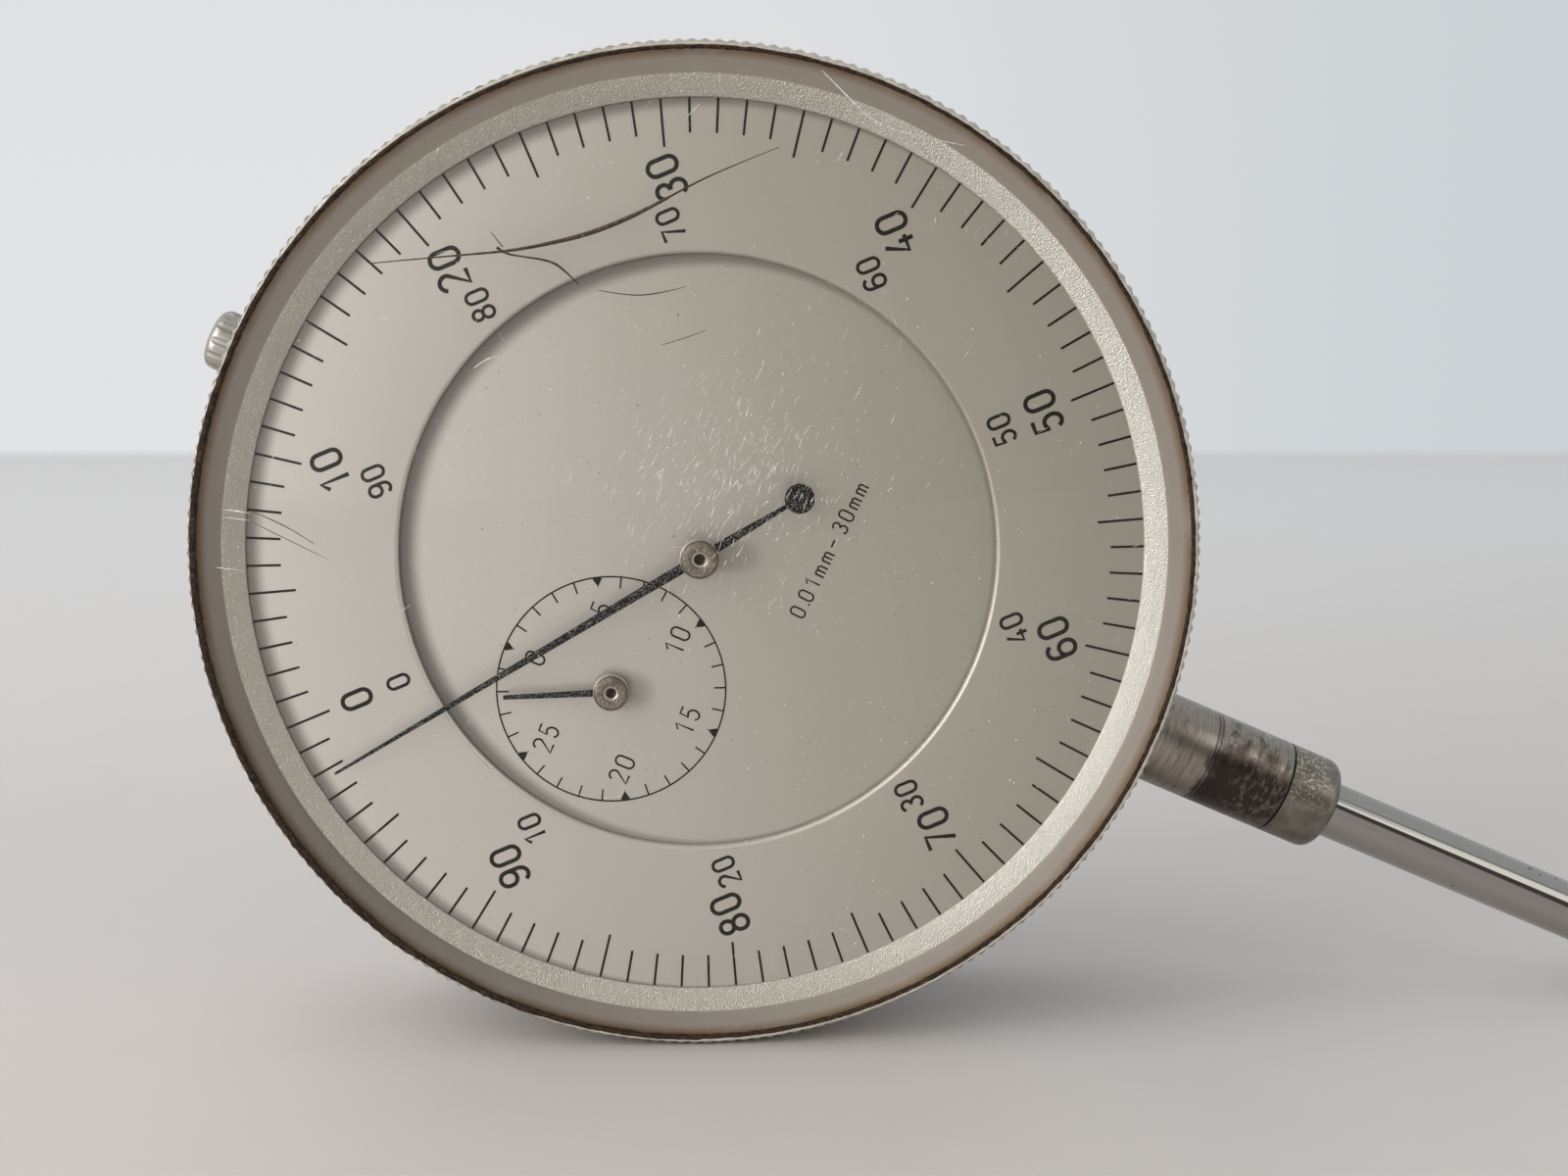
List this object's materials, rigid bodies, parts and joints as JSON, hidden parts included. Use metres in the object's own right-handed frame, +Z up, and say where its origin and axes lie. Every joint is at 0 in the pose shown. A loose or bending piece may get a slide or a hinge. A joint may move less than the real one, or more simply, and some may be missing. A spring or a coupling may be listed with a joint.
{
  "type": "dial indicator",
  "caption": "Large-face plunger dial indicator with knurled turning bezel, domed crystal, revolution counter, round stem and lug back.",
  "frame": {"origin": "on the spindle's axis, in the middle of the stem's clamping length", "axes": "+Z up along the spindle, away from the contact point; -Y out of the dial; +X to the right as the dial is read"},
  "size_m": [0.08, 0.0394, 0.1413],
  "materials": {
    "case_plate": "satin nickel plate over a turned case, worn",
    "screw_steel": "polished steel",
    "stem_steel": "ground steel, stained dark towards the end",
    "bush_nickel": "satin nickel",
    "dial_silver": "satin silvered dial",
    "movement_brass": "grained brass",
    "spring_steel": "drawn spring wire",
    "jewel_red": "polished synthetic ruby",
    "spindle_steel": "polished hardened steel",
    "ball_carbide": "polished hard metal",
    "knob_nickel": "worn nickel plate",
    "bezel_nickel": "nickel plate with dirt in the knurl",
    "flange_silver": "blasted and polished silver",
    "crystal_acrylic": "clear domed acrylic, scratched and crazed",
    "arbor_steel": "hardened steel",
    "hand_blued": "blackish blue steel",
    "hub_nickel": "polished nickel",
    "wheel_brass": "cut brass"
  },
  "bodies": {
    "case": {"case_body": "case_plate", "back_cover": "case_plate", "cover_screws": "screw_steel", "stem": "stem_steel", "stem_end_bush": "bush_nickel", "upper_bush": "bush_nickel", "centre_dial": "dial_silver", "centre_bridge": "movement_brass", "bridge_pillars": "movement_brass", "bridge_screws": "screw_steel", "rear_bridge": "movement_brass", "rear_pillars": "movement_brass", "rear_bridge_screws": "screw_steel", "guide_rail": "movement_brass", "rail_screws": "screw_steel", "spring_post": "screw_steel", "hairspring_stud": "movement_brass", "hairspring": "spring_steel", "bezel_spring_wire": "spring_steel", "pivot_jewels": "jewel_red", "return_spring": "spring_steel"},
    "spindle": {"spindle": "spindle_steel", "contact_point": "spindle_steel", "contact_ball": "ball_carbide", "lifting_knob": "knob_nickel", "guide_pin": "screw_steel"},
    "bezel": {"bezel": "bezel_nickel", "scale_ring": "dial_silver", "flange_ring": "flange_silver", "crystal": "crystal_acrylic"},
    "main_hand": {"centre_arbor": "arbor_steel", "pointer": "hand_blued", "pointer_hub": "hub_nickel"},
    "counter_hand": {"counter_arbor": "arbor_steel", "counter_wheel": "wheel_brass", "small_pointer": "hand_blued"},
    "first_train": {"first_arbor": "arbor_steel", "transfer_wheel": "wheel_brass", "counter_pinion": "arbor_steel"},
    "takeup_train": {"takeup_arbor": "arbor_steel", "takeup_wheel": "wheel_brass", "hairspring_collet": "movement_brass"}
  },
  "joints": [
    {"name": "spindle_slide", "type": "slide", "parent": "case", "child": "spindle", "axis": [0, 0, 1], "range_m": [0, 0.0322], "stiffness_N_per_m": 20, "springref_m": -0.055, "deforming": ["return_spring"]},
    {"name": "bezel_turn", "type": "hinge", "parent": "case", "child": "bezel", "pos_m": [0, -0.0092, 0.04725], "axis": [0, 1, 0], "continuous": true},
    {"name": "main_hand_turn", "type": "hinge", "parent": "case", "child": "main_hand", "pos_m": [0, -0.0092, 0.04725], "axis": [0, 1, 0], "range_deg": [0, 11592.5]},
    {"name": "counter_hand_turn", "type": "hinge", "parent": "case", "child": "counter_hand", "pos_m": [-0.01285, -0.0092, 0.04945], "axis": [0, 1, 0], "range_deg": [0, 386.9]},
    {"name": "first_train_turn", "type": "hinge", "parent": "case", "child": "first_train", "pos_m": [-0.00348, 0, 0.03975], "axis": [0, 1, 0], "range_deg": [-1159.7, 0]},
    {"name": "takeup_train_turn", "type": "hinge", "parent": "case", "child": "takeup_train", "pos_m": [0.00348, 0, 0.05475], "axis": [0, 1, 0], "range_deg": [-1159.7, 0]}
  ],
  "couplings": [
    {"joint": "main_hand_turn", "follows": "spindle_slide", "rad_per_m": 6283.2},
    {"joint": "counter_hand_turn", "follows": "spindle_slide", "rad_per_m": 209.44},
    {"joint": "first_train_turn", "follows": "spindle_slide", "rad_per_m": -628.32},
    {"joint": "takeup_train_turn", "follows": "spindle_slide", "rad_per_m": -628.32}
  ]
}
